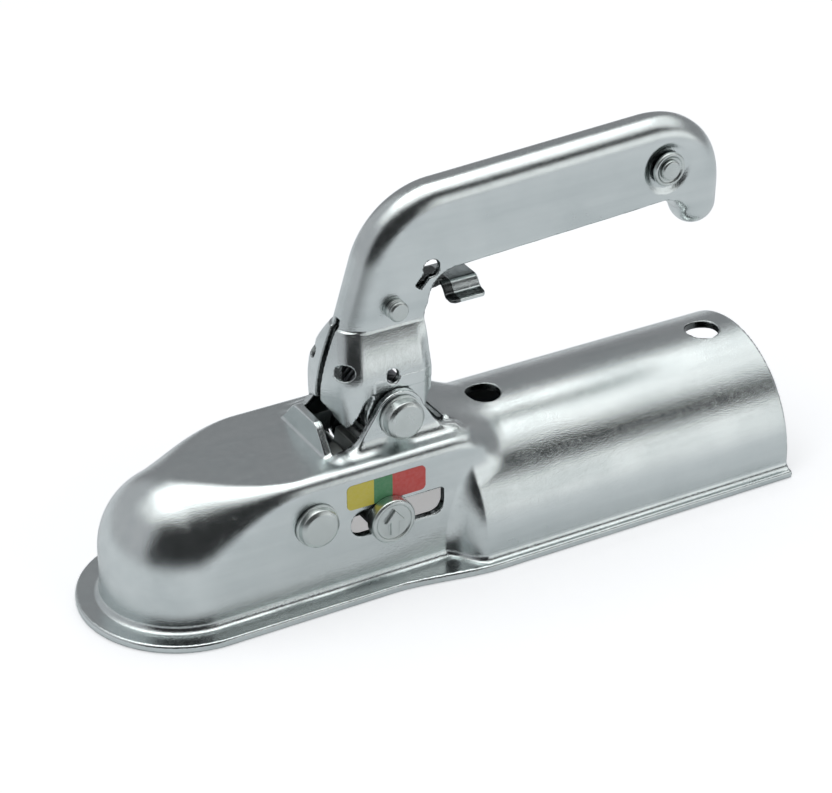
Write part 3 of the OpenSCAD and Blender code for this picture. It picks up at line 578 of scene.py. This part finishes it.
verts, quads, normals = surface(indicator_field, (56, -34.4, -2.5), (74, 32.5, 15.5), STEP * 0.4)
indicator = piece("indicator_pin_turned", verts, quads, normals)


# %% [markdown]
# ## Springs
# Round wire follows a smooth curve: the main spring sits on the sleeve between the legs, a
# small one holds the catch, and a compression spring stands on the jaw's tail.

# %% Springs
def wire(name, path, d, n=14):
    path = np.array(path, float)
    along = np.gradient(path, axis=0)
    along /= np.linalg.norm(along, axis=1)[:, None]
    side = np.cross(along, (0, 1, 0.02))
    side /= np.linalg.norm(side, axis=1)[:, None]
    other = np.cross(along, side)
    verts, faces = [], []
    for p, e, g in zip(path, side, other):
        verts += [tuple(p + d / 2 * (math.cos(a) * e + math.sin(a) * g))
                  for a in np.linspace(0, 2 * math.pi, n, endpoint=False)]
    for i in range(len(path) - 1):
        for j in range(n):
            k = (j + 1) % n
            faces.append((i * n + j, i * n + k, (i + 1) * n + k, (i + 1) * n + j))
    faces.append(tuple(range(n))[::-1])
    faces.append(tuple(range((len(path) - 1) * n, len(path) * n)))
    return piece(name, verts, faces)


def coil(at, r, y0, y1, turns, n=36):
    return [(at[0] + r * math.cos(2 * math.pi * turns * s), y0 + (y1 - y0) * s,
             at[1] + r * math.sin(2 * math.pi * turns * s)) for s in np.linspace(0, 1, int(turns * n))]


near_leg = [(83.9, -9.75, 38.6 + k) for k in (16, 12, 8, 4, 2)]
far_leg = [(66.1 + 0.02 * k, 9.75, 38.6 + k) for k in (2, 6, 12, 17)]
main_spring = wire("main_spring_wire", near_leg + coil(PIVOT, 8.9, -9.75, 9.75, 7.5) + far_leg, 2.2)
catch_spring = wire("catch_spring_wire", [(82.4, -2.8, 64.7), (82.4, -2.8, 69), (82.4, -2.8, 72.7)]
                    + coil(CATCH, 3.4, -2.8, 2.8, 3.75) + [(80, 2.8, 70.3), (83, 2.8, 70.3), (86, 2.8, 70.3)], 1.2)
upright = [(43.7 + 2.4 * math.cos(t), 2.4 * math.sin(t), 18.3 + 6.0 * t / (7 * math.pi))
           for t in np.linspace(0, 7 * math.pi, 140)]
jaw_spring = wire("jaw_spring_wire", upright, 1.2)

# %% [markdown]
# ## Catch, jaw and slide
# The catch is folded from thin sheet, with winged finger plate. The jaw and the slide are
# forgings inside the hood, so their corners are well rounded.

# %% Catch, jaw and slide
CHEEK = [(77, 78.7), (90, 79.1), (101, 78.1), (101, 76.6), (92, 75.1), (87, 65.6), (88, 55.6), (81, 54.6),
         (80.5, 58.6), (76, 69.4)]


def catch_field(x, y, z):
    ay = np.abs(y)
    outline = np.minimum(polygon(x, z, CHEEK), np.hypot(x - CATCH[0], z - CATCH[1]) - 5.3)
    outline = np.maximum(outline, 2.55 - np.hypot(x - CATCH[0], z - CATCH[1]))
    cheeks = meet(outline, np.abs(ay - 4.45) - 0.75, 0.4)
    web = np.maximum(np.maximum(outline, ay - 5.2), np.maximum(89.0 - x, 75.0 - z))
    middle = 77.2 - 0.85 * ease((ay - 5.4) / 2.2) - 2.9 * ease((ay - 6.9) / 2.8) - 0.35 * ease((ay - 9.8) / 3)
    wing = meet(np.abs(z - middle) * np.where(ay > 6.5, np.where(ay < 10.2, 0.72, 0.95), 1.0) - 0.6,
                rounded_box(x - 105, ay - 3, 7, 10.8, 2.4), 0.4)
    return join(join(cheeks, web, 0.4), wing, 0.6)


verts, quads, normals = surface(catch_field, (72, -15, 53), (113.5, 15, 81), STEP * 0.6)
catch = piece("catch_pressing", verts, quads, normals)

JAW_LINE = [(-18.5, -24.2), (-8, -24.7), (2, -23), (4.6, -19.5), (5, -12), (9, -4.5), (9.8, 2.2), (9.6, 7),
            (-3, 8.2), (-8, 6), (-14, 0), (-18.5, -12)]
SLIDE_LINE = [(-21.1, -16.5), (-14, -17.5), (-7.5, -8), (8, -8), (13, -3), (14.2, 12.25), (14.2, 14.4), (1.2, 14.4),
              (0.4, 9.2), (-8.5, 4.5), (-12.5, -4.3), (-21.1, -11)]


def jaw_field(x, y, z):
    u, v = x - JAW[0], z - JAW[1]
    line = np.minimum(polygon(u, v, JAW_LINE), np.hypot(u, v) - 8.3)
    line = np.maximum(line, -np.maximum(2.9 - u, 5.7 - v))
    d = meet(line, np.abs(y) - 13.5, 1.0)
    d = cut(d, np.sqrt(x * x + y * y + z * z) - 25.5, 0.6)
    return np.maximum(d, 4.55 - np.hypot(u, v))


def slide_field(x, y, z):
    u, v = x - SLIDE[0], z - SLIDE[1]
    line = polygon(u, v, SLIDE_LINE)
    line = np.maximum(line, -np.maximum(np.abs(x - LINK[0]) - 3.25, 15.05 - z))
    d = meet(line, np.abs(y) - 12.5, 0.9)
    return np.maximum(d, 4.65 - np.hypot(u, v))


verts, quads, normals = surface(jaw_field, (17.5, -14.5, -14.5), (49, 14.5, 21.5), STEP)
jaw = piece("jaw_forging", verts, quads, normals)
verts, quads, normals = surface(slide_field, (42, -13.5, -12.5), (81, 13.5, 22.5), STEP)
slide = piece("slide_forging", verts, quads, normals)


# %% [markdown]
# ## Label
# A thin printed film with rounded corners. Its three fields stand for worn, closed and open.

# %% Label
def label_outline(x0, x1, z0, z1, r, n=8):
    out = []
    for cx, cz, a in ((x1 - r, z1 - r, 0), (x0 + r, z1 - r, 90), (x0 + r, z0 + r, 180), (x1 - r, z0 + r, 270)):
        out += arc((cx, cz), r, a, a + 90, n)
    return out


line = label_outline(49.25, 79.55, 13.2, 22.7, 1.9)
count = len(line)
verts = [(x, -28.2, z) for x, z in line] + [(x, -28.38, z) for x, z in line]
faces = [tuple(range(count)), tuple(range(2 * count - 1, count - 1, -1))]
faces += [(i, i + count, (i + 1) % count + count, (i + 1) % count) for i in range(count)]
label = piece("label_film", verts, faces)
label.data.polygons.foreach_set("use_smooth", np.zeros(len(label.data.polygons), bool))

# %% [markdown]
# ## Zinc finish
# Plated steel is not one even mirror: its gloss drifts, fine grain sparkles in it, and light
# streaks follow the drawing of the sheet. Faces that look inwards, and the catch's parts under
# the handle, get painted shade: their colour is mixed towards near black. One node group makes
# these values from noise and position, and every metal on the part shares it.

# %% Shared node group
def metal_group():
    g = bpy.data.node_groups.new("plated_metal", "ShaderNodeTree")
    for name, kind in (("Pale", "NodeSocketColor"), ("Dull", "NodeSocketColor"), ("Gloss", "NodeSocketFloat"),
                       ("Drift", "NodeSocketFloat"), ("Grain", "NodeSocketFloat"), ("Hidden", "NodeSocketFloat"),
                       ("Streak", "NodeSocketVector")):
        g.interface.new_socket(name, in_out="INPUT", socket_type=kind)
    for name, kind in (("Color", "NodeSocketColor"), ("Roughness", "NodeSocketFloat"),
                       ("Normal", "NodeSocketVector")):
        g.interface.new_socket(name, in_out="OUTPUT", socket_type=kind)
    a, b = g.nodes.new("NodeGroupInput"), g.nodes.new("NodeGroupOutput")
    where = g.nodes.new("ShaderNodeTexCoord")
    link = g.links.new

    def noise(scale, detail, vector):
        n = node(g, "ShaderNodeTexNoise")
        n.inputs["Scale"].default_value = scale
        n.inputs["Detail"].default_value = detail
        link(vector, n.inputs["Vector"])
        return n.outputs["Fac"] if "Fac" in n.outputs else n.outputs[0]

    def math_node(operation, p, q):
        n = node(g, "ShaderNodeMath", operation=operation)
        for socket, value in zip(n.inputs, (p, q)):
            if isinstance(value, (int, float)):
                socket.default_value = value
            else:
                link(value, socket)
        return n.outputs[0]

    stretch = node(g, "ShaderNodeVectorMath", operation="MULTIPLY")
    link(where.outputs["Object"], stretch.inputs[0])
    link(a.outputs["Streak"], stretch.inputs[1])
    clouds = noise(38.0, 5.0, where.outputs["Object"])
    drawn = noise(1.0, 4.0, stretch.outputs[0])
    grain = noise(2600.0, 1.0, where.outputs["Object"])
    spangle = noise(420.0, 3.0, where.outputs["Object"])
    tone = math_node("ADD", math_node("MULTIPLY", clouds, 0.55), math_node("MULTIPLY", drawn, 0.45))
    mask = node(g, "ShaderNodeMapRange")
    mask.inputs["From Min"].default_value = 0.36
    mask.inputs["From Max"].default_value = 0.66
    link(tone, mask.inputs["Value"])
    colour = node(g, "ShaderNodeMix", data_type="RGBA")
    sockets = [s for s in colour.inputs if s.type == "RGBA"]
    factor = [s for s in colour.inputs if s.name == "Factor" and s.type == "VALUE"][0]
    link(mask.outputs[0], factor)
    link(a.outputs["Pale"], sockets[0])
    link(a.outputs["Dull"], sockets[1])
    sides = []
    for vector in (where.outputs["Object"], node(g, "ShaderNodeNewGeometry").outputs["Normal"]):
        split = node(g, "ShaderNodeSeparateXYZ")
        link(vector, split.inputs[0])
        sides.append(split.outputs)
    # painted shade: faces whose normal points towards the middle plane y = 0 get a mask towards near black
    inward_shade = node(g, "ShaderNodeMapRange")
    inward_shade.inputs["From Max"].default_value = -0.0035
    link(math_node("MULTIPLY", sides[0]["Y"], sides[1]["Y"]), inward_shade.inputs["Value"])
    # painted shade: on the catch, the parts ahead of the given x, which sit under the handle, are darkened too
    covered_shade = math_node("LESS_THAN", sides[0]["X"], a.outputs["Hidden"])
    inside = node(g, "ShaderNodeMix", data_type="RGBA")
    ends = [s for s in inside.inputs if s.type == "RGBA"]
    factor = [s for s in inside.inputs if s.name == "Factor" and s.type == "VALUE"][0]
    link(math_node("MAXIMUM", inward_shade.outputs[0], covered_shade), factor)
    link([s for s in colour.outputs if s.type == "RGBA"][0], ends[0])
    # painted shade colour: near black for the masked faces
    ends[1].default_value = (0.11, 0.12, 0.12, 1)
    link([s for s in inside.outputs if s.type == "RGBA"][0], b.inputs["Color"])
    swing = math_node("MULTIPLY", math_node("SUBTRACT", tone, 0.5), a.outputs["Drift"])
    fine = math_node("MULTIPLY", math_node("SUBTRACT", spangle, 0.5), 0.18)
    link(math_node("ADD", math_node("ADD", a.outputs["Gloss"], swing), fine), b.inputs["Roughness"])
    height = math_node("ADD", math_node("MULTIPLY", grain, 0.8), math_node("MULTIPLY", drawn, 0.06))
    height = math_node("ADD", height, math_node("MULTIPLY", spangle, 0.2))
    bump = node(g, "ShaderNodeBump")
    bump.inputs["Distance"].default_value = 0.00012
    link(a.outputs["Grain"], bump.inputs["Strength"])
    link(height, bump.inputs["Height"])
    link(bump.outputs[0], b.inputs["Normal"])
    return g


GROUP = metal_group()


def metal(name, pale, dull, gloss, drift, grain, streak=(12, 160, 160), shade_x_limit=-1.0):
    m, tree, out = material(name)
    use = tree.nodes.new("ShaderNodeGroup")
    use.node_tree = GROUP
    use.inputs["Pale"].default_value = (*pale, 1)
    use.inputs["Dull"].default_value = (*dull, 1)
    use.inputs["Gloss"].default_value = gloss
    use.inputs["Drift"].default_value = drift
    use.inputs["Grain"].default_value = grain
    use.inputs["Streak"].default_value = streak
    use.inputs["Hidden"].default_value = shade_x_limit
    body = tree.nodes.new("ShaderNodeBsdfPrincipled")
    body.inputs["Metallic"].default_value = 1.0
    tree.links.new(use.outputs["Color"], body.inputs["Base Color"])
    tree.links.new(use.outputs["Roughness"], body.inputs["Roughness"])
    tree.links.new(use.outputs["Normal"], body.inputs["Normal"])
    tree.links.new(body.outputs[0], out.inputs[0])
    return m


ZINC = metal("zinc_sheet", (0.77, 0.825, 0.82), (0.64, 0.70, 0.70), 0.20, 0.32, 0.7)
# painted shade: the catch's cheeks and web ahead of x = 101.5 mm sit under the handle and are darkened
CATCH_ZINC = metal("zinc_catch", (0.77, 0.825, 0.82), (0.64, 0.70, 0.70), 0.22, 0.30, 0.6, shade_x_limit=0.1015)
PINS = metal("zinc_pin", (0.73, 0.785, 0.77), (0.60, 0.65, 0.635), 0.30, 0.25, 0.45, (90, 90, 90))
FORGED = metal("forged_zinc", (0.54, 0.585, 0.57), (0.41, 0.445, 0.435), 0.42, 0.35, 0.9, (60, 60, 60))
SPRING = metal("spring_wire", (0.36, 0.37, 0.39), (0.24, 0.25, 0.27), 0.34, 0.25, 0.4, (70, 70, 70))


# %% [markdown]
# The label's colours come from the position along it. Print is never quite even, so a little
# noise moves the ink's tone.

# %% Label material
def label_material():
    m, tree, out = material("label_print")
    link = tree.links.new
    where = tree.nodes.new("ShaderNodeTexCoord")
    split = tree.nodes.new("ShaderNodeSeparateXYZ")
    link(where.outputs["Object"], split.inputs[0])

    def after(x):
        n = node(tree, "ShaderNodeMath", operation="GREATER_THAN")
        link(split.outputs["X"], n.inputs[0])
        n.inputs[1].default_value = x
        return n.outputs[0]

    def pick(mask, first, second):
        n = node(tree, "ShaderNodeMix", data_type="RGBA")
        link(mask, [s for s in n.inputs if s.name == "Factor" and s.type == "VALUE"][0])
        for socket, value in zip([s for s in n.inputs if s.type == "RGBA"], (first, second)):
            if isinstance(value, tuple):
                socket.default_value = (*value, 1)
            else:
                link(value, socket)
        return [s for s in n.outputs if s.type == "RGBA"][0]

    fields = pick(after(0.0595), (0.62, 0.53, 0.05), (0.05, 0.24, 0.09))
    fields = pick(after(0.0667), fields, (0.58, 0.045, 0.035))
    grain = tree.nodes.new("ShaderNodeTexNoise")
    grain.inputs["Scale"].default_value = 900.0
    link(where.outputs["Object"], grain.inputs["Vector"])
    fade = node(tree, "ShaderNodeMath", operation="MULTIPLY")
    link(grain.outputs[0], fade.inputs[0])
    fade.inputs[1].default_value = 0.10
    inked = pick(fade.outputs[0], fields, (0.95, 0.93, 0.9))
    body = tree.nodes.new("ShaderNodeBsdfPrincipled")
    body.inputs["Roughness"].default_value = 0.35
    link(inked, body.inputs["Base Color"])
    link(body.outputs[0], out.inputs[0])
    return m


# %% [markdown]
# ## Putting it together
# Each piece gets its finish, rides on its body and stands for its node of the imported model.

# %% Assign finishes and bodies
def dress(obs, finish, slot_name, body, *nodes):
    for ob in obs:
        ob.data.materials.clear()
        ob.data.materials.append(finish)
        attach(ob, body)
        if nodes:
            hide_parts(*nodes)


dress(hood_parts, ZINC, "zinc_sheet", "hood", "housing")
dress([handle], ZINC, "zinc_sheet", "lever", "handle")
dress([catch], CATCH_ZINC, "zinc_sheet", "catch", "catch_lever")
dress([pivot_pin], PINS, "zinc_pin", "hood", "handle_pivot_pin")
dress([jaw_pin], PINS, "zinc_pin", "hood", "jaw_pin")
dress([pivot_washer], PINS, "zinc_pin", "hood", "pivot_washer")
dress([jaw_washer], PINS, "zinc_pin", "hood", "jaw_washer")
dress([indicator_washer], PINS, "zinc_pin", "slide", "indicator_washer")
dress([indicator], PINS, "zinc_pin", "slide", "indicator_pin")
dress([eyelet], PINS, "zinc_pin", "lever", "grip_eyelet")
dress([grip_rivet], PINS, "zinc_pin", "lever", "grip_rivet")
dress([catch_pin], PINS, "zinc_pin", "lever", "catch_pin")
dress([link_pin], PINS, "zinc_pin", "lever", "link_pin")
dress([sleeve], FORGED, "forged_steel", "lever", "pivot_sleeve")
dress([jaw], FORGED, "forged_steel", "jaw", "ball_jaw")
dress([slide], FORGED, "forged_steel", "slide", "lock_slide")
dress([main_spring], SPRING, "spring_steel", "lever", "main_spring")
dress([catch_spring], SPRING, "spring_steel", "catch", "catch_spring")
dress([jaw_spring], SPRING, "spring_steel", "hood", "jaw_spring")
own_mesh(jaw_spring)
dress([label], label_material(), "label", "hood", "indicator_label")
for name in ("jaw_spacer_near", "jaw_spacer_far", "slide_spacer_near", "slide_spacer_far"):
    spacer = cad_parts[name]
    for place in spacer.material_slots:
        place.material = FORGED
